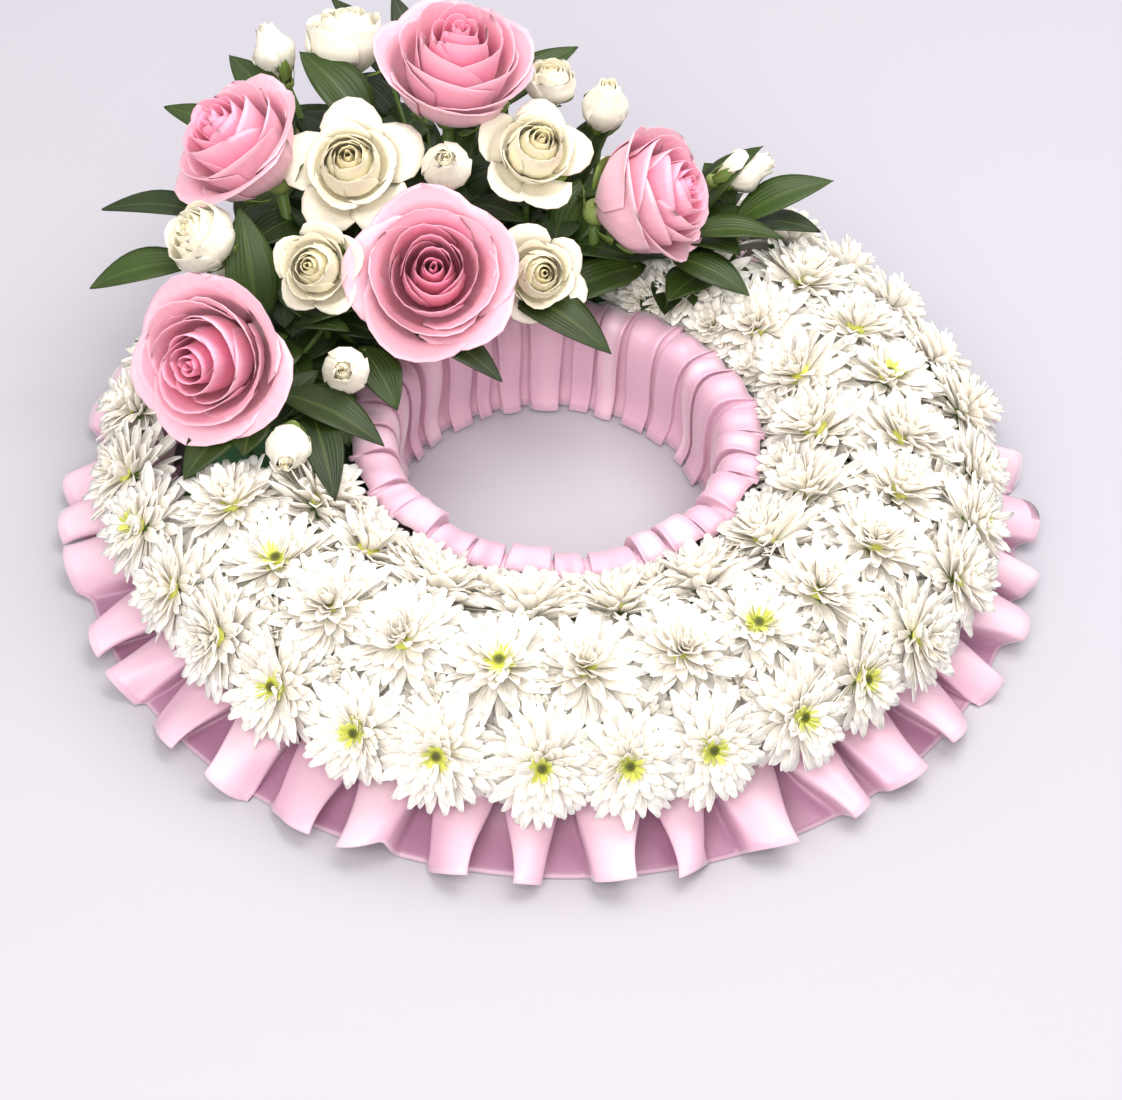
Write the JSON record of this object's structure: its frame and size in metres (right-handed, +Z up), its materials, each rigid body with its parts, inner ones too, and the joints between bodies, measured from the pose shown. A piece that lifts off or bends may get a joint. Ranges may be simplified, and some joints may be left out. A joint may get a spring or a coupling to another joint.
{
  "type": "memorial wreath",
  "caption": "Ring wreath of white chrysanthemums on a foam base, edged with pleated satin ribbon, with a raised side spray of pink roses, cream spray roses and leaves.",
  "frame": {"origin": "centre of the hole, on the surface that the wreath lies on", "axes": "+Z up out of the flowers, -Y towards the front, so the raised spray is at the back left"},
  "size_m": [0.4076, 0.4076, 0.1565],
  "materials": {
    "backing": "matte",
    "foam": "matte",
    "ribbon": "satin",
    "white_petals": "matte",
    "pink_petals": "satin",
    "cream_petals": "satin",
    "foliage": "satin"
  },
  "bodies": {
    "root": {"chrysanthemum_01": "white_petals", "chrysanthemum_02": "white_petals", "chrysanthemum_03": "white_petals", "chrysanthemum_04": "white_petals", "chrysanthemum_05": "white_petals", "chrysanthemum_06": "white_petals", "chrysanthemum_07": "white_petals", "chrysanthemum_08": "white_petals", "chrysanthemum_09": "white_petals", "chrysanthemum_10": "white_petals", "chrysanthemum_11": "white_petals", "chrysanthemum_12": "white_petals", "chrysanthemum_13": "white_petals", "chrysanthemum_14": "white_petals", "chrysanthemum_15": "white_petals", "chrysanthemum_16": "white_petals", "chrysanthemum_17": "white_petals", "chrysanthemum_18": "white_petals", "chrysanthemum_19": "white_petals", "chrysanthemum_20": "white_petals", "rose_1": "pink_petals", "rose_2": "pink_petals", "rose_3": "pink_petals", "rose_4": "pink_petals", "rose_5": "pink_petals", "spray_rose_1": "cream_petals", "spray_rose_2": "cream_petals", "spray_rose_3": "cream_petals", "spray_rose_4": "cream_petals", "spray_rose_5": "cream_petals", "spray_rose_6": "cream_petals", "spray_rose_7": "cream_petals", "rose_bud_1": "cream_petals", "rose_bud_2": "cream_petals", "rose_bud_3": "cream_petals", "rose_bud_4": "cream_petals", "rose_bud_5": "cream_petals", "rose_bud_6": "cream_petals", "ruscus_1": "foliage", "ruscus_2": "foliage", "ruscus_3": "foliage", "ruscus_4": "foliage", "ruscus_5": "foliage", "ruscus_6": "foliage", "ruscus_7": "foliage", "ruscus_8": "foliage", "ruscus_9": "foliage", "ruscus_10": "foliage", "ruscus_11": "foliage", "ruscus_12": "foliage", "ruscus_13": "foliage", "ruscus_14": "foliage", "ruscus_15": "foliage", "ruscus_16": "foliage", "foam_ring": "foam", "backing_ring": "backing", "outer_ribbon": "ribbon", "inner_ribbon": "ribbon"}
  },
  "joints": []
}
